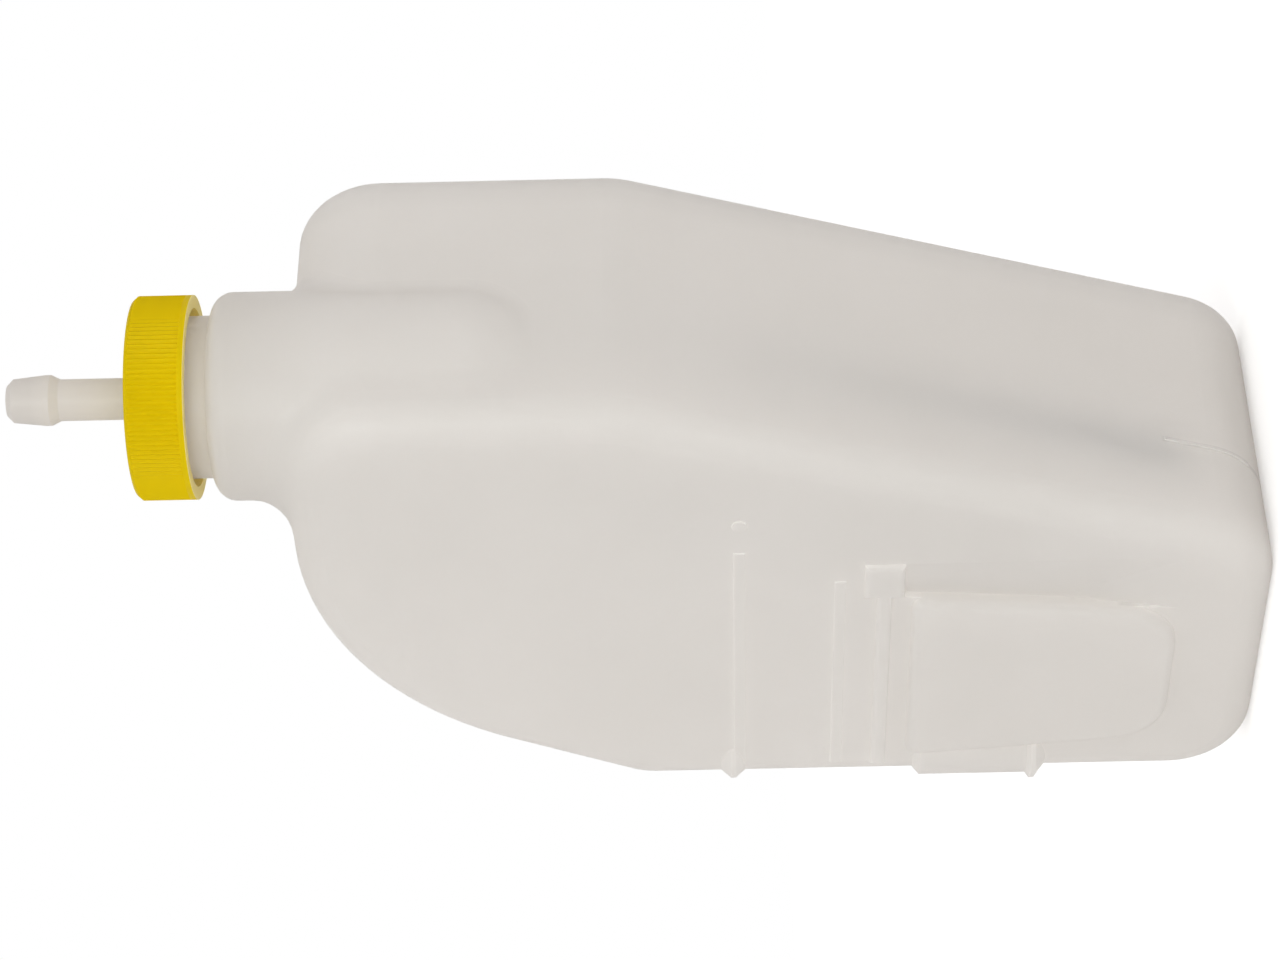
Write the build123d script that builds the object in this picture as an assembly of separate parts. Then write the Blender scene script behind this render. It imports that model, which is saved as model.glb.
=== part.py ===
from build123d import *
import os
from math import radians, tan

# Coolant expansion tank, in millimetres.
# The origin is the middle of the base, on the mould's parting plane.
# The neck points up, the front panel faces -Y and the slanted side faces +X.

# Tank body
BASE_WIDTH = 74.3
BODY_WIDTH = 116.8
BODY_HEIGHT = 198.6
FRONT_DEPTH = 24.2
BACK_DEPTH = 46.8
WALL = 2.0
EDGE_RADIUS = 6.5
BASE_CORNER_RADIUS = 17.0
SLANT_CORNER_RADIUS = 17.5
SHOULDER_RADIUS = 18.0

# Slanted side and swept shoulder
CREASE_HEIGHT = 132.0
CREASE_RADIUS = 20.0
SWEEP_FOOT = 130.2
SWEEP_LEAN = 24.5
SWEEP_RADIUS = 68.0
SWEEP_FOOT_RADIUS = 15.0

# Neck, which bulges out of the upright side
NECK_FROM_SIDE = 16.9
NECK_RADIUS = 20.9
NECK_BULGE_DROP = 35.6
NECK_RISE = 14.5
NECK_STEP = 4.6
NECK_LEDGE = 0.5
NECK_BLEND = 8.5
FINISH_HEIGHT = 9.5
FINISH_WALL = 2.3

# Thread of the neck and the cap
THREAD_PITCH = 3.2
THREAD_TURNS = 1.1
THREAD_DEPTH = 1.2
THREAD_ROOT = 1.7
THREAD_CREST = 0.9
THREAD_FROM_RIM = 1.1
THREAD_CLEARANCE = 0.4
THREAD_SINK = 0.3
HALF_TURN = 180

# Mounting pad on the front panel, with its stop rib and the groove beside it
PAD_CENTRE = -1.2
PAD_TOP = 73.7
PAD_BOTTOM = 19.0
PAD_INSET = 22.6
PAD_TAPER = 10.7
PAD_HEIGHT = 2.2
PAD_TOP_CORNER = 2.5
PAD_BOTTOM_CORNER = 12.0
PAD_EDGE = 2.0
STOP_HEAD_GAP = 1.7
STOP_HEAD_RIGHT = 35.0
STOP_HEAD_LENGTH = 9.8
STOP_HEAD_WIDTH = 8.2
STOP_RIB_WIDTH = 3.2
STOP_RIB_HEIGHT = 1.2
STOP_RIB_EDGE = 1.0
GROOVE_RUN = 17.0
GROOVE_DEPTH = 2.4
GROOVE_RAMP = 30.0

# Level lines across the front panel
FULL_LEVEL = 109.0
FULL_LINE_RIGHT = 39.5
GUIDE_LEVEL = 88.5
GUIDE_LINE_RIGHT = 30.0
LINE_WIDTH = 2.4
LINE_HEIGHT = 0.35
LINE_EDGE = 0.25
FULL_MARK_RIGHT = 47.8
FULL_MARK_RADIUS = 1.6

# Rail and level beads round the edge of the front panel and the straight side
LOW_LEVEL = 46.3
FULL_BEAD_RISE = 1.4
BEAD_WIDTH = 5.2
BEAD_CREST = 1.0
BEAD_HEIGHT = 1.8
RAIL_BEAD_HEIGHT = 1.2
RAIL_TOP = 72.0
RAIL_BOTTOM = 43.5
RAIL_HEIGHT = 1.8
RAIL_SLOPE = 1.5

# Mould seam at the foot of the slanted side
SEAM_WIDTH = 0.8
SEAM_HEIGHT = 0.35
SEAM_TOP = 21.7
SEAM_BOTTOM = 3.9

# Cap ring
CAP_WALL = 2.6
CAP_TOP_WALL = 2.6
CAP_SKIRT = 1.0
CAP_LOWER_BAND = 1.2
CAP_UPPER_BAND = 0.8
CAP_EDGE = 0.4
KNURL_COUNT = 120
KNURL_DEPTH = 0.4
TURNING_CLEARANCE = 0.1

# Hose nipple
FLANGE_THICKNESS = 2.0
FLANGE_CLEARANCE = 0.5
NIPPLE_LENGTH = 26.1
STEM_RADIUS = 4.2
BARB_RISE = 0.9
BARB_LAND = 1.2
BARB_FROM_TIP = 7.6
BARB_DROP = 1.8
COLLAR_MARGIN = 0.1
TIP_TAPER = 0.7
TIP_ROUND = 1.2
SPIGOT_LENGTH = 12.0
SPIGOT_WALL = 0.85

# Seal
SEAL_THICKNESS = 1.5

# Dip tube
TUBE_RADIUS = 4.5
TUBE_WALL = 1.4
TUBE_FIT = 0.05
TUBE_STRAIGHT = 40.0
TUBE_END_HEIGHT = 21.0
TUBE_SWAY = 4.0
TUBE_WALL_GAP = 0.3

# Places and radii that follow from the sizes above
SIDE_X = -BASE_WIDTH / 2
FLAT_LEFT = SIDE_X + EDGE_RADIUS
UPRIGHT_X = SIDE_X + BODY_WIDTH
NECK_X = UPRIGHT_X - NECK_FROM_SIDE
SLANT_RUN = BODY_WIDTH - BASE_WIDTH
PAD_TOP_HALF = (BASE_WIDTH - PAD_INSET) / 2
PAD_BOTTOM_HALF = PAD_TOP_HALF - PAD_TAPER / 2
STOP_HEAD_BOTTOM = PAD_TOP + STOP_HEAD_GAP
NECK_FOOT = BODY_HEIGHT - NECK_BULGE_DROP
NECK_TOP = BODY_HEIGHT + NECK_RISE
RIM_HEIGHT = NECK_TOP + FINISH_HEIGHT
FINISH_RADIUS = NECK_RADIUS - NECK_STEP
FINISH_BORE = FINISH_RADIUS - FINISH_WALL
THREAD_START = RIM_HEIGHT - THREAD_FROM_RIM - THREAD_PITCH * THREAD_TURNS
SEAL_TOP = RIM_HEIGHT + SEAL_THICKNESS
FLANGE_TOP = SEAL_TOP + FLANGE_THICKNESS
CAP_TOP = FLANGE_TOP + CAP_TOP_WALL
CAP_BOTTOM = THREAD_START - CAP_SKIRT
CAP_HEIGHT = CAP_TOP - CAP_BOTTOM
CAP_BORE = FINISH_RADIUS + THREAD_DEPTH + THREAD_CLEARANCE
CAP_RADIUS = CAP_BORE + CAP_WALL
BARB_RADIUS = STEM_RADIUS + BARB_RISE
COLLAR_RADIUS = BARB_RADIUS + COLLAR_MARGIN
TIP_RADIUS = BARB_RADIUS - TIP_TAPER
TUBE_BORE = TUBE_RADIUS - TUBE_WALL
SPIGOT_RADIUS = TUBE_BORE - TUBE_FIT
NIPPLE_BORE = SPIGOT_RADIUS - SPIGOT_WALL

STANDING = (Align.CENTER, Align.CENTER, Align.MIN)


def body_outline():
    """The tank's outline seen from the front, with every corner rounded."""
    sweep_top_x = SIDE_X + (BODY_HEIGHT - SWEEP_FOOT) * tan(radians(SWEEP_LEAN))
    corners = [
        (SIDE_X, 0, BASE_CORNER_RADIUS),
        (SIDE_X + BASE_WIDTH, 0, SLANT_CORNER_RADIUS),
        (UPRIGHT_X, CREASE_HEIGHT, CREASE_RADIUS),
        (UPRIGHT_X, BODY_HEIGHT, SHOULDER_RADIUS),
        (sweep_top_x, BODY_HEIGHT, SWEEP_RADIUS),
        (SIDE_X, SWEEP_FOOT, SWEEP_FOOT_RADIUS),
    ]
    points = [(x, z) for x, z, radius in corners]
    radii = [radius for x, z, radius in corners]
    return make_face(FilletPolyline(*points, radius=radii, close=True))


def rounded_body(outline, inset):
    """A body of that outline from front to back, with its front and back edges rounded."""
    front = FRONT_DEPTH - inset
    back = BACK_DEPTH - inset
    body = extrude(Plane.XZ.offset(front) * outline, amount=-(front + back))
    ends = body.faces().sort_by(Axis.Y)
    return fillet(ends[0].edges() + ends[-1].edges(), EDGE_RADIUS - inset)


def neck_solid(radius, side, finish_radius):
    """The neck's round form: a ball end, the given side and the finish above it."""
    ball = CenterArc((0, NECK_FOOT), radius, -90, 90)
    finish = Polyline(side @ 1, (finish_radius, RIM_HEIGHT), (0, RIM_HEIGHT), (0, NECK_FOOT - radius))
    half = Plane.YZ * make_face(Curve() + [ball, side, finish])
    return Pos(NECK_X, 0, 0) * revolve(half, Axis.Z)


def outer_neck():
    """The neck's outside, with a rounded top."""
    side = FilletPolyline(
        (NECK_RADIUS, NECK_FOOT),
        (NECK_RADIUS, NECK_TOP),
        (FINISH_RADIUS, NECK_TOP),
        radius=[NECK_STEP - NECK_LEDGE],
    )
    return neck_solid(NECK_RADIUS, side, FINISH_RADIUS)


def inner_neck():
    """The neck's inside, which narrows to the finish's bore in a cone."""
    radius = NECK_RADIUS - WALL
    top = NECK_TOP - WALL
    side = Polyline((radius, NECK_FOOT), (radius, top - (radius - FINISH_BORE)), (FINISH_BORE, top))
    return neck_solid(radius, side, FINISH_BORE)


def thread(root_radius, side):
    """A trapezoid ridge on a helix, standing outward (side 1) or inward (side -1) from its root."""
    sunk = root_radius - side * THREAD_SINK
    crest = root_radius + side * THREAD_DEPTH
    section = Polyline(
        (sunk, -THREAD_ROOT / 2),
        (root_radius, -THREAD_ROOT / 2),
        (crest, -THREAD_CREST / 2),
        (crest, THREAD_CREST / 2),
        (root_radius, THREAD_ROOT / 2),
        (sunk, THREAD_ROOT / 2),
        close=True,
    )
    path = Helix(THREAD_PITCH, THREAD_PITCH * THREAD_TURNS, root_radius)
    return sweep(Plane.XZ * make_face(section), path=path, is_frenet=True)


def panel_relief(face, height, edge):
    """A flat relief of that outline on the front panel, with its outer edge rounded."""
    relief = extrude(Plane.XZ.offset(FRONT_DEPTH - WALL) * face, amount=WALL + height)
    return fillet(relief.faces().sort_by(Axis.Y)[0].edges(), edge)


def pad_outline():
    """The tapered pad's outline on the front panel, round at its lower corners."""
    outline = FilletPolyline(
        (PAD_CENTRE - PAD_TOP_HALF, PAD_TOP),
        (PAD_CENTRE - PAD_BOTTOM_HALF, PAD_BOTTOM),
        (PAD_CENTRE + PAD_BOTTOM_HALF, PAD_BOTTOM),
        (PAD_CENTRE + PAD_TOP_HALF, PAD_TOP),
        radius=[PAD_TOP_CORNER, PAD_BOTTOM_CORNER, PAD_BOTTOM_CORNER, PAD_TOP_CORNER],
        close=True,
    )
    return make_face(outline)


def pad_recess():
    """The pad's hollow back, which keeps the wall even."""
    back = Plane.XZ.offset(FRONT_DEPTH - WALL - GROOVE_DEPTH)
    return extrude(back * offset(pad_outline(), amount=-WALL), amount=GROOVE_DEPTH + PAD_HEIGHT)


def bracket_groove(past_pad):
    """The shallow groove from the stop head down beside the pad, as far under the pad's flank as given.

    It deepens towards the pad and runs out at its lower end.
    """
    floor = GROOVE_DEPTH - FRONT_DEPTH
    plan = Polyline(
        (STOP_HEAD_RIGHT, PAD_BOTTOM),
        (STOP_HEAD_RIGHT, STOP_HEAD_BOTTOM),
        (PAD_CENTRE + PAD_TOP_HALF - past_pad, STOP_HEAD_BOTTOM),
        (PAD_CENTRE + PAD_BOTTOM_HALF - past_pad, PAD_BOTTOM),
        close=True,
    )
    across = Polyline(
        (STOP_HEAD_RIGHT, -FRONT_DEPTH),
        (STOP_HEAD_RIGHT - GROOVE_RUN, -FRONT_DEPTH),
        (STOP_HEAD_RIGHT - GROOVE_RUN, floor),
        close=True,
    )
    along = Polyline(
        (-FRONT_DEPTH, PAD_BOTTOM),
        (floor, PAD_BOTTOM + GROOVE_RAMP),
        (floor, STOP_HEAD_BOTTOM),
        (-FRONT_DEPTH, STOP_HEAD_BOTTOM),
        close=True,
    )
    groove = extrude(Plane.XZ.offset(FRONT_DEPTH) * make_face(plan), amount=-GROOVE_DEPTH)
    groove &= extrude(make_face(across), amount=STOP_HEAD_BOTTOM)
    return groove & extrude(Plane.YZ * make_face(along), amount=STOP_HEAD_RIGHT)


def panel_bar(left, right, bottom, top):
    """The outline of a straight bar on the front panel."""
    return Pos((left + right) / 2, (bottom + top) / 2) * Rectangle(right - left, top - bottom)


def stop_rib():
    """The rib above the pad that stops a bracket, with a broad head at its right end."""
    middle = STOP_HEAD_BOTTOM + STOP_HEAD_WIDTH / 2
    rib_bottom = middle - STOP_RIB_WIDTH / 2
    head_left = STOP_HEAD_RIGHT - STOP_HEAD_LENGTH
    outline = panel_bar(FLAT_LEFT, STOP_HEAD_RIGHT, rib_bottom, rib_bottom + STOP_RIB_WIDTH)
    outline += panel_bar(head_left, STOP_HEAD_RIGHT, STOP_HEAD_BOTTOM, STOP_HEAD_BOTTOM + STOP_HEAD_WIDTH)
    return panel_relief(outline, STOP_RIB_HEIGHT, STOP_RIB_EDGE)


def level_line(level, right):
    line = panel_bar(FLAT_LEFT, right, level - LINE_WIDTH / 2, level + LINE_WIDTH / 2)
    return panel_relief(line, LINE_HEIGHT, LINE_EDGE)


def edge_bead(bottom, top, height, slope):
    """A bead with sloped ends round the edge between the front panel and the straight side."""
    profile = Polyline(
        (0, bottom),
        (EDGE_RADIUS, bottom),
        (EDGE_RADIUS + height, bottom + slope),
        (EDGE_RADIUS + height, top - slope),
        (EDGE_RADIUS, top),
        (0, top),
        close=True,
    )
    disc = revolve(Plane.XZ * make_face(profile), Axis.Z)
    return Pos(FLAT_LEFT, EDGE_RADIUS - FRONT_DEPTH) * disc


def level_bead(level, height):
    slope = (BEAD_WIDTH - BEAD_CREST) / 2
    return edge_bead(level - BEAD_WIDTH / 2, level + BEAD_WIDTH / 2, height, slope)


def mould_seam(outline):
    """The raised line that the mould leaves on its parting plane, low on the slanted side."""
    proud = offset(outline, amount=SEAM_HEIGHT) - offset(outline, amount=-WALL / 2)
    proud &= panel_bar(0, UPRIGHT_X, SEAM_BOTTOM, SEAM_TOP)
    return extrude(Plane.XZ * proud, amount=SEAM_WIDTH / 2, both=True)


def tank():
    outline = body_outline()
    body = rounded_body(outline, 0)
    neck = outer_neck()
    shell = body + neck
    shell = fillet(new_edges(body, neck, combined=shell), NECK_BLEND)
    shell -= bracket_groove(0)
    shell += panel_relief(pad_outline(), PAD_HEIGHT, PAD_EDGE)
    shell += stop_rib()
    shell += level_line(FULL_LEVEL, FULL_LINE_RIGHT)
    shell += level_line(GUIDE_LEVEL, GUIDE_LINE_RIGHT)
    shell += panel_relief(Pos(FULL_MARK_RIGHT, FULL_LEVEL) * Circle(FULL_MARK_RADIUS), LINE_HEIGHT, LINE_EDGE)
    shell += edge_bead(RAIL_BOTTOM, RAIL_TOP, RAIL_HEIGHT, RAIL_SLOPE)
    shell += level_bead(FULL_LEVEL + FULL_BEAD_RISE, BEAD_HEIGHT)
    shell += level_bead(LOW_LEVEL, RAIL_HEIGHT + RAIL_BEAD_HEIGHT)
    shell += mould_seam(outline)
    shell += Pos(NECK_X, 0, THREAD_START) * thread(FINISH_RADIUS, 1)
    cavity = rounded_body(offset(outline, amount=-WALL), WALL)
    cavity -= Pos(0, WALL, 0) * bracket_groove(WALL)
    cavity += pad_recess()
    return shell - cavity - inner_neck()


def cap_ring():
    """A knurled ring whose thread lies midway between the turns of the neck's thread."""
    root = CAP_RADIUS - KNURL_DEPTH
    step = 360 / KNURL_COUNT
    teeth = []
    for i in range(KNURL_COUNT):
        teeth.append(Vector(CAP_RADIUS, 0).rotate(Axis.Z, i * step))
        teeth.append(Vector(root, 0).rotate(Axis.Z, (i + 0.5) * step))
    knurl_height = CAP_HEIGHT - CAP_LOWER_BAND - CAP_UPPER_BAND
    knurl = extrude(make_face(Polyline(*teeth, close=True)), amount=knurl_height)
    lower_band = Cylinder(CAP_RADIUS, CAP_LOWER_BAND, align=STANDING)
    upper_band = Cylinder(root, CAP_UPPER_BAND, align=STANDING)
    upper_band = chamfer(upper_band.edges().sort_by(Axis.Z)[-1], CAP_EDGE)
    ring = lower_band
    ring += Pos(0, 0, CAP_LOWER_BAND) * knurl
    ring += Pos(0, 0, CAP_HEIGHT - CAP_UPPER_BAND) * upper_band
    ring -= Cylinder(CAP_BORE, CAP_HEIGHT - CAP_TOP_WALL, align=STANDING)
    ring -= Cylinder(COLLAR_RADIUS + TURNING_CLEARANCE, CAP_HEIGHT, align=STANDING)
    ring += Pos(0, 0, CAP_SKIRT) * Rot(0, 0, HALF_TURN) * thread(CAP_BORE, -1)
    return Pos(NECK_X, 0, CAP_BOTTOM) * ring


def hose_nipple():
    """A flange under the cap ring, a collar the ring turns on, the barbed stem and a spigot below."""
    tip = CAP_TOP + NIPPLE_LENGTH
    land_top = tip - BARB_FROM_TIP
    land_bottom = land_top - BARB_LAND
    flange_radius = CAP_BORE - FLANGE_CLEARANCE
    spigot_end = SEAL_TOP - SPIGOT_LENGTH
    outline = Polyline(
        (NIPPLE_BORE, spigot_end),
        (SPIGOT_RADIUS, spigot_end),
        (SPIGOT_RADIUS, SEAL_TOP),
        (flange_radius, SEAL_TOP),
        (flange_radius, FLANGE_TOP),
        (COLLAR_RADIUS, FLANGE_TOP),
        (COLLAR_RADIUS, CAP_TOP),
        (STEM_RADIUS, CAP_TOP),
        (STEM_RADIUS, land_bottom - BARB_DROP),
        (BARB_RADIUS, land_bottom),
        (BARB_RADIUS, land_top),
        (TIP_RADIUS, tip - TIP_ROUND),
        (TIP_RADIUS - TIP_ROUND, tip),
        (NIPPLE_BORE, tip),
        close=True,
    )
    return Pos(NECK_X, 0, 0) * revolve(Plane.XZ * make_face(outline), Axis.Z)


def cap_seal():
    seal = Cylinder(FINISH_RADIUS, SEAL_THICKNESS, align=STANDING)
    seal -= Cylinder(FINISH_BORE, SEAL_THICKNESS, align=STANDING)
    return Pos(NECK_X, 0, RIM_HEIGHT) * seal


def dip_tube():
    """Straight down from the nipple, then one long arc that brings its end to the slanted wall."""
    lean = Vector(SLANT_RUN, 0, CREASE_HEIGHT).normalized()
    outward = Vector(lean.Z, 0, -lean.X)
    wall_offset = WALL + TUBE_WALL_GAP + TUBE_RADIUS
    wall_point = Vector(UPRIGHT_X, 0, CREASE_HEIGHT) - outward * wall_offset
    end = wall_point - lean * ((wall_point.Z - TUBE_END_HEIGHT) / lean.Z)
    end -= Vector(0, TUBE_SWAY, 0)
    bend_start = Vector(NECK_X, 0, SEAL_TOP - TUBE_STRAIGHT)
    straight = Line((NECK_X, 0, SEAL_TOP), bend_start)
    bend = TangentArc(bend_start, end, tangent=(0, 0, -1))
    section = Circle(TUBE_RADIUS) - Circle(TUBE_BORE)
    return sweep(Pos(NECK_X, 0, SEAL_TOP) * section, path=Curve() + [straight, bend])


PIECES = {
    "tank": tank,
    "cap_ring": cap_ring,
    "hose_nipple": hose_nipple,
    "cap_seal": cap_seal,
    "dip_tube": dip_tube,
}

os.makedirs("parts", exist_ok=True)
for name, make in PIECES.items():
    export_step(make(), f"parts/{name}.step")
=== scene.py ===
import bpy
from mathutils import Matrix, Vector

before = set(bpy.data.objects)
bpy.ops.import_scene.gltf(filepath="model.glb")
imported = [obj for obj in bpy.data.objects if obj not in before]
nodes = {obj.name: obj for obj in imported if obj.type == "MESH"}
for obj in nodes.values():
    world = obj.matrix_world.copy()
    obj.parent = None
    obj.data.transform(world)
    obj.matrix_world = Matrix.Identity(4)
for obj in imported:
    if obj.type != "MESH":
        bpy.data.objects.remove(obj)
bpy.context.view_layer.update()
scene = bpy.context.scene

# Places on the part, in metres
NECK_AXIS_X = 0.06275
CAP_BOTTOM = 0.21698
CAP_BORE_TOP = 0.2261
CAP_BORE_RADIUS = 0.0179

# The box that holds the raised part of the level lines: its middle and its reach on each axis
LINES_BOX = {"X": (0.005, 0.038), "Y": (-0.02441, 0.0002), "Z": (0.0988, 0.0125)}

# Shares of the light: what passes each plastic, and the glow that lifts the floor to white
TANK_PASSES = 0.52
CAP_PASSES = 0.3
NIPPLE_PASSES = 0.4
FLOOR_GLOW = 0.35


# Materials

def node_maker(tree):
    """A maker of shader nodes in that tree, which also sets their sockets."""

    def add(kind, **inputs):
        node = tree.nodes.new("ShaderNode" + kind)
        for socket, value in inputs.items():
            node.inputs[socket.replace("_", " ")].default_value = value
        return node

    return add


def new_material(name):
    material = bpy.data.materials.new(name)
    material.use_nodes = True
    tree = material.node_tree
    return material, tree, tree.nodes["Principled BSDF"], node_maker(tree)


def calculate(tree, add, kind, operation, *operands):
    """A Math or VectorMath node on sockets and plain values."""
    node = add(kind)
    node.operation = operation
    for socket, operand in zip(node.inputs, operands):
        if isinstance(operand, bpy.types.NodeSocket):
            tree.links.new(operand, socket)
        else:
            socket.default_value = operand
    return node.outputs


def fade(tree, add, value, near, far, low=0.0, high=1.0):
    """Low where the value is near, high where it is far, and an even change between."""
    node = add("MapRange", From_Min=near, From_Max=far, To_Min=low, To_Max=high)
    tree.links.new(value, node.inputs["Value"])
    return node.outputs["Result"]


def ramp(add, stops):
    """A colour ramp with those places and colours."""
    node = add("ValToRGB")
    elements = node.color_ramp.elements
    while len(elements) < len(stops):
        elements.new(0.5)
    for element, (place, colour) in zip(elements, stops):
        element.position = place
        element.color = (*colour, 1)
    return node


def moulded_plastic(name, pale, deep, mottle_scale, grain_scale, grain, roughness):
    """Moulded plastic: a soft mottle between two tones, a fine grain in the surface and uneven gloss."""
    material, tree, shader, add = new_material(name)
    link = tree.links.new
    place = add("TexCoord")
    mottle = add("TexNoise", Scale=mottle_scale, Detail=3.0, Roughness=0.55)
    link(place.outputs["Object"], mottle.inputs["Vector"])
    tones = ramp(add, [(0.3, deep), (0.7, pale)])
    link(mottle.outputs["Fac"], tones.inputs["Fac"])
    link(tones.outputs["Color"], shader.inputs["Base Color"])
    fine = add("TexNoise", Scale=grain_scale, Detail=2.0, Roughness=0.6)
    link(place.outputs["Object"], fine.inputs["Vector"])
    gloss = fade(tree, add, fine.outputs["Fac"], 0.3, 0.7, roughness - 0.05, roughness + 0.06)
    link(gloss, shader.inputs["Roughness"])
    bump = add("Bump", Strength=grain, Distance=0.0002)
    link(fine.outputs["Fac"], bump.inputs["Height"])
    link(bump.outputs["Normal"], shader.inputs["Normal"])
    return material, tree, shader, add, tones


def times(tree, shader, add, colour, factor):
    """Multiplies the plastic's colour by that factor."""
    product = add("Mix", Factor=1.0)
    product.data_type = "RGBA"
    product.blend_type = "MULTIPLY"
    tree.links.new(colour, product.inputs["A"])
    tree.links.new(factor, product.inputs["B"])
    tree.links.new(product.outputs["Result"], shader.inputs["Base Color"])
    return product.outputs["Result"]


def axes(tree, add, output):
    """That output of the texture coordinates, one socket for each axis."""
    apart = add("SeparateXYZ")
    tree.links.new(add("TexCoord").outputs[output], apart.inputs["Vector"])
    return apart.outputs


def tint_along(tree, shader, add, colour, along, stops):
    """Multiplies the plastic's colour by tints that change along one axis."""
    tint = ramp(add, stops)
    tree.links.new(along, tint.inputs["Fac"])
    return times(tree, shader, add, colour, tint.outputs["Color"])


def shade_spot(tree, shader, add, colour, tint, ends):
    """Multiplies the plastic's colour by the tint where every value is near, and not where one is far."""
    shades = [fade(tree, add, value, near, far, tint, 1.0) for value, near, far in ends]
    palest = shades[0]
    for shade in shades[1:]:
        palest = calculate(tree, add, "Math", "MAXIMUM", palest, shade)["Value"]
    return times(tree, shader, add, colour, palest)


def bore_and_rim_painted_light(tree, shader, add, colour, pale):
    """Painted light: the cap's bore and its lower rim are painted paler than its outside, a painted
    highlight on the rim and painted light in the shaded bore.
    """
    place = add("TexCoord").outputs["Object"]
    off_axis = calculate(tree, add, "VectorMath", "SUBTRACT", place, (NECK_AXIS_X, 0.0, 0.0))["Vector"]
    across = calculate(tree, add, "VectorMath", "MULTIPLY", off_axis, (1.0, 1.0, 0.0))["Vector"]
    radius = calculate(tree, add, "VectorMath", "LENGTH", across)["Value"]
    height = axes(tree, add, "Object")["Z"]
    narrow = fade(tree, add, radius, CAP_BORE_RADIUS + 0.0006, CAP_BORE_RADIUS + 0.0002)
    below_top = fade(tree, add, height, CAP_BORE_TOP + 0.0014, CAP_BORE_TOP + 0.0004)
    bore = calculate(tree, add, "Math", "MINIMUM", narrow, below_top)["Value"]
    rim = fade(tree, add, height, CAP_BOTTOM + 0.00011, CAP_BOTTOM + 0.00002)
    inside = calculate(tree, add, "Math", "MAXIMUM", bore, rim)["Value"]
    either = add("Mix")
    either.data_type = "RGBA"
    either.inputs["B"].default_value = (*pale, 1)
    tree.links.new(inside, either.inputs["Factor"])
    tree.links.new(colour, either.inputs["A"])
    tree.links.new(either.outputs["Result"], shader.inputs["Base Color"])
    return either.outputs["Result"]


def soft_lines(tree, shader, add, place, share):
    """The level lines are low and soft, so their edges take a share of the flat panel's shading."""
    amount = share
    for axis, (middle, reach) in LINES_BOX.items():
        inside = calculate(tree, add, "Math", "COMPARE", place[axis], middle, reach)["Value"]
        amount = calculate(tree, add, "Math", "MULTIPLY", inside, amount)["Value"]
    flatter = add("Mix")
    flatter.data_type = "VECTOR"
    flatter.inputs["B"].default_value = (0.0, -1.0, 0.0)
    tree.links.new(amount, flatter.inputs["Factor"])
    tree.links.new(add("NewGeometry").outputs["Normal"], flatter.inputs["A"])
    normal = calculate(tree, add, "VectorMath", "NORMALIZE", flatter.outputs["Result"])["Vector"]
    bump = shader.inputs["Normal"].links[0].from_node
    tree.links.new(normal, bump.inputs["Normal"])
    return normal


def let_light_through(tree, shader, add, colour, share, normal=None):
    """That share of the light passes the wall and comes out soft on its other side."""
    through = add("BsdfTranslucent")
    if normal is not None:
        tree.links.new(normal, through.inputs["Normal"])
    wall = add("MixShader", Fac=share)
    tree.links.new(colour, through.inputs["Color"])
    tree.links.new(shader.outputs["BSDF"], wall.inputs[1])
    tree.links.new(through.outputs["BSDF"], wall.inputs[2])
    tree.links.new(wall.outputs["Shader"], tree.nodes["Material Output"].inputs["Surface"])


def scatter(shader, weight, radius, scale):
    """Light spreads inside the plastic, which softens its small forms."""
    shader.subsurface_method = "BURLEY"
    shader.inputs["Subsurface Weight"].default_value = weight
    shader.inputs["Subsurface Radius"].default_value = radius
    shader.inputs["Subsurface Scale"].default_value = scale


def dress(node, material):
    """Gives a node of the part its one material."""
    mesh = nodes[node].data
    mesh.materials.clear()
    mesh.materials.append(material)


tank_plastic, tree, shader, add, tones = moulded_plastic(
    "natural_polyethylene",
    pale=(0.92, 0.90, 0.88),
    deep=(0.90, 0.88, 0.858),
    mottle_scale=22.0,
    grain_scale=900.0,
    grain=0.08,
    roughness=0.33,
)
shader.inputs["Specular IOR Level"].default_value = 0.4
scatter(shader, weight=0.7, radius=(1.0, 1.0, 1.0), scale=0.003)

# Painted shade dulls the neck, and the collar under the cap is painted in a warm shade that stands for the
# yellow cap's reflection; painted light then lifts the finish next to the cap out of the cap's shadow.
neck_painted_shade_and_light = [
    (0.190, (1.0, 1.0, 1.0)),
    (0.206, (0.97, 0.967, 0.96)),
    (0.2132, (0.955, 0.947, 0.93)),
    (0.2142, (0.965, 0.945, 0.91)),
    (0.2165, (1.085, 1.075, 1.06)),
]
# Painted shade: the back is painted a little darker than the rest of the wall.
back_painted_shade = [(0.036, (1.0, 1.0, 1.0)), (0.0445, (0.93, 0.93, 0.93))]
place = axes(tree, add, "Object")
colour = tint_along(tree, shader, add, tones.outputs["Color"], place["Z"], neck_painted_shade_and_light)
colour = tint_along(tree, shader, add, colour, place["Y"], back_painted_shade)

# Painted shade: the mould seam low on the slanted side is painted a little darker than the wall beside it,
# so that its small ridge reads as shaded.
beside_seam = calculate(tree, add, "Math", "ABSOLUTE", place["Y"])["Value"]
seam_painted_shade = [(beside_seam, 0.0004, 0.0008), (place["Z"], 0.0215, 0.0225), (place["X"], 0.001, 0.0)]
colour = shade_spot(tree, shader, add, colour, tint=0.88, ends=seam_painted_shade)

# The wall at the shallow lower end of the bracket groove faces the lamp. Painted shade darkens it so that
# its lit edge does not stand out.
groove_end_painted_shade = [
    (axes(tree, add, "Normal")["X"], 0.7, 0.5),
    (place["Y"], -0.02418, -0.02421),
    (place["Z"], 0.031, 0.032),
    (place["X"], 0.0212, 0.0216),
    (place["X"], 0.001, 0.0),
]
colour = shade_spot(tree, shader, add, colour, tint=0.93, ends=groove_end_painted_shade)
normal = soft_lines(tree, shader, add, place, share=0.3)
let_light_through(tree, shader, add, colour, TANK_PASSES, normal)
dress("tank", tank_plastic)

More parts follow.
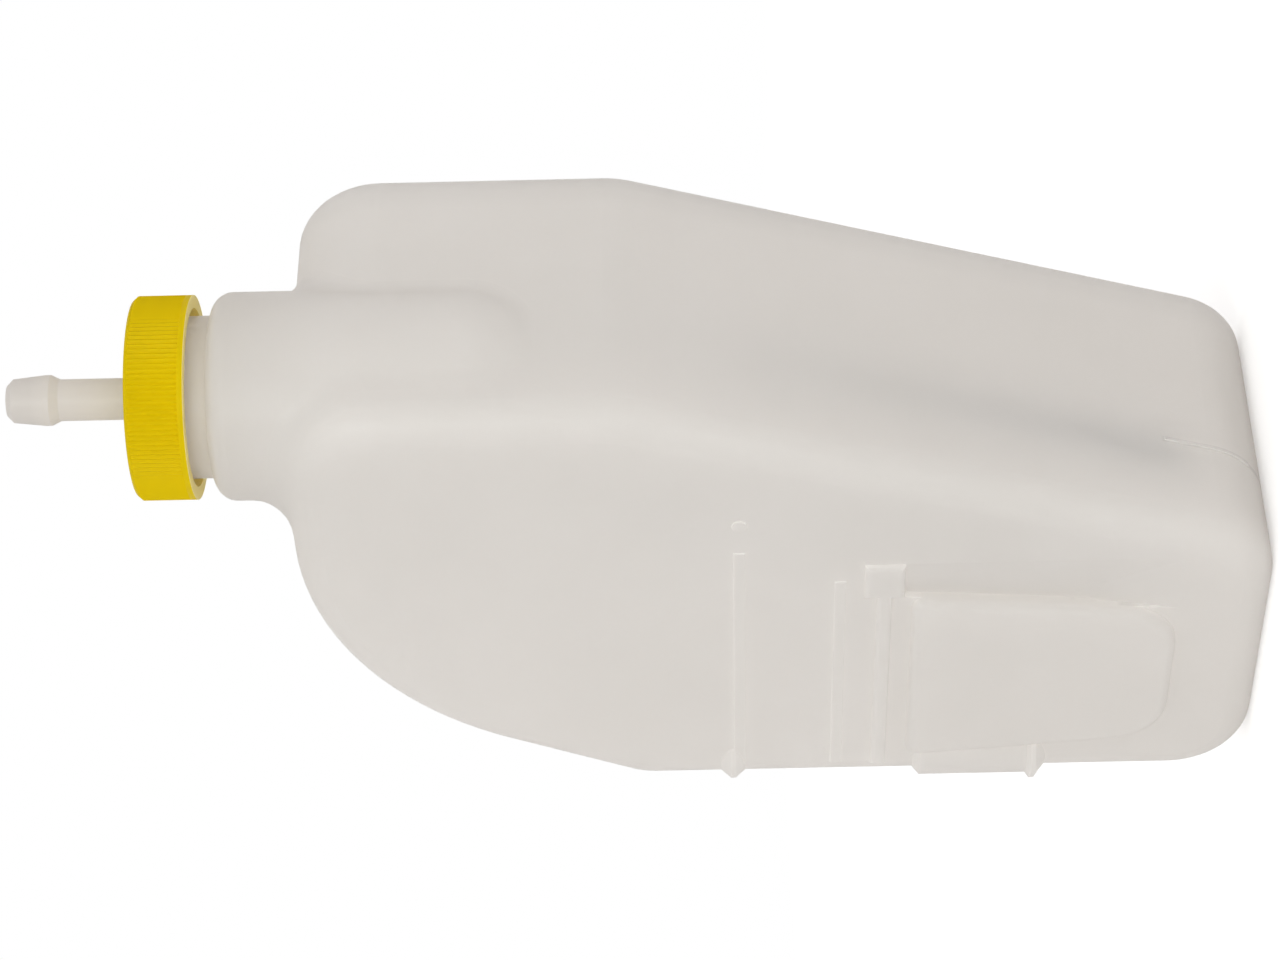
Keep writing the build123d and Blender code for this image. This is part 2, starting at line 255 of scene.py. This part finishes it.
cap_plastic, tree, shader, add, tones = moulded_plastic(
    "yellow_plastic",
    pale=(0.845, 0.655, 0.0012),
    deep=(0.805, 0.615, 0.001),
    mottle_scale=60.0,
    grain_scale=1400.0,
    grain=0.10,
    roughness=0.5,
)
shader.inputs["Specular IOR Level"].default_value = 0.08
scatter(shader, weight=0.45, radius=(1.0, 0.8, 0.1), scale=0.001)
# Painted highlight on the cap's lower rim and painted light in its bore.
colour = bore_and_rim_painted_light(tree, shader, add, tones.outputs["Color"], pale=(1.0, 0.91, 0.42))
let_light_through(tree, shader, add, colour, CAP_PASSES)
dress("cap_ring", cap_plastic)

nipple_plastic, tree, shader, add, tones = moulded_plastic(
    "off_white_plastic",
    pale=(0.868, 0.834, 0.80),
    deep=(0.843, 0.809, 0.775),
    mottle_scale=80.0,
    grain_scale=1200.0,
    grain=0.10,
    roughness=0.42,
)
# The nipple's plastic is tinted darker towards its tip.
darker_tip = [(0.246, (1.0, 1.0, 1.0)), (0.2485, (0.93, 0.93, 0.93))]
place = axes(tree, add, "Object")
colour = tint_along(tree, shader, add, tones.outputs["Color"], place["Z"], darker_tip)
let_light_through(tree, shader, add, colour, NIPPLE_PASSES)
dress("hose_nipple", nipple_plastic)

# The tube is dark at its lower end and pale towards its top.
tube_plastic, tree, shader, add, tones = moulded_plastic(
    "dark_ended_tube",
    pale=(1.0, 1.0, 1.0),
    deep=(0.85, 0.85, 0.85),
    mottle_scale=120.0,
    grain_scale=1500.0,
    grain=0.10,
    roughness=0.5,
)
dark_lower_end = [(0.05, (0.045, 0.043, 0.04)), (0.45, (0.10, 0.097, 0.09)), (0.8, (0.72, 0.70, 0.66))]
place = axes(tree, add, "Generated")
tint_along(tree, shader, add, tones.outputs["Color"], place["Z"], dark_lower_end)
dress("dip_tube", tube_plastic)

seal_rubber, tree, shader, add, tones = moulded_plastic(
    "black_rubber",
    pale=(0.03, 0.03, 0.03),
    deep=(0.02, 0.02, 0.02),
    mottle_scale=150.0,
    grain_scale=2000.0,
    grain=0.15,
    roughness=0.7,
)
dress("cap_seal", seal_rubber)


# Floor, backdrop and light

def seen_directly(tree, add):
    """1 for rays from the camera, a reflection or a clear wall, and 0 for light that falls on things."""
    path = add("LightPath")
    seen = path.outputs["Is Camera Ray"]
    for ray in ("Is Glossy Ray", "Is Transmission Ray"):
        seen = calculate(tree, add, "Math", "MAXIMUM", seen, path.outputs[ray])["Value"]
    return seen


world = bpy.data.worlds.new("studio")
scene.world = world
world.use_nodes = True
tree = world.node_tree
add = node_maker(tree)
soft_light = tree.nodes["Background"]
soft_light.inputs["Color"].default_value = (1.0, 0.985, 0.982, 1)
soft_light.inputs["Strength"].default_value = 0.765
white = add("Background", Color=(1, 1, 1, 1), Strength=1.0)
either = add("MixShader")
tree.links.new(seen_directly(tree, add), either.inputs["Fac"])
tree.links.new(soft_light.outputs["Background"], either.inputs[1])
tree.links.new(white.outputs["Background"], either.inputs[2])
tree.links.new(either.outputs["Shader"], tree.nodes["World Output"].inputs["Surface"])

# The floor is matt. A glow that lights nothing lifts it to white, and the part's shadow stays on it.
bpy.ops.mesh.primitive_plane_add(size=6, location=(0, 0, 0))
floor = bpy.context.object
floor.name = "floor"
floor_paint, tree, shader, add = new_material("pale_floor")
shader.inputs["Base Color"].default_value = (0.95, 0.95, 0.95, 1)
shader.inputs["Roughness"].default_value = 0.9
shader.inputs["Specular IOR Level"].default_value = 0.0
lift = calculate(tree, add, "Math", "MULTIPLY", seen_directly(tree, add), FLOOR_GLOW)["Value"]
glow = add("Emission", Color=(1, 1, 1, 1))
lit = add("AddShader")
tree.links.new(lift, glow.inputs["Strength"])
tree.links.new(shader.outputs["BSDF"], lit.inputs[0])
tree.links.new(glow.outputs["Emission"], lit.inputs[1])
tree.links.new(lit.outputs["Shader"], tree.nodes["Material Output"].inputs["Surface"])
floor.data.materials.append(floor_paint)


def area_lamp(name, place, target, size, watts, colour):
    """A round area lamp at that place, turned to the target."""
    data = bpy.data.lights.new(name, "AREA")
    data.shape = "DISK"
    data.size = size
    data.energy = watts
    data.color = colour
    lamp = bpy.data.objects.new(name, data)
    scene.collection.objects.link(lamp)
    lamp.location = place
    aim = Vector(target) - Vector(place)
    lamp.rotation_mode = "QUATERNION"
    lamp.rotation_quaternion = aim.to_track_quat("-Z", "Y")


area_lamp(
    "key",
    place=(1.39, -1.74, 0.90),
    target=(0.02, 0.01, 0.10),
    size=1.0,
    watts=12.6,
    colour=(0.95, 1.0, 0.965),
)


# Camera at the photograph's angle, turned so that the neck points left

RIGHT = Vector((-0.0235, -0.0075, -0.9997))
UP = Vector((0.6593, 0.7516, -0.0211))
BACK = Vector((0.7515, -0.6596, -0.0127))
camera_data = bpy.data.cameras.new("camera")
camera_data.sensor_width = 36.0
camera_data.lens = 100.41
camera = bpy.data.objects.new("camera", camera_data)
scene.collection.objects.link(camera)
camera.location = (0.58723, -0.48484, 0.11944)
camera.rotation_mode = "QUATERNION"
camera.rotation_quaternion = Matrix((RIGHT, UP, BACK)).transposed().to_quaternion()
scene.camera = camera
scene.view_settings.view_transform = "Standard"
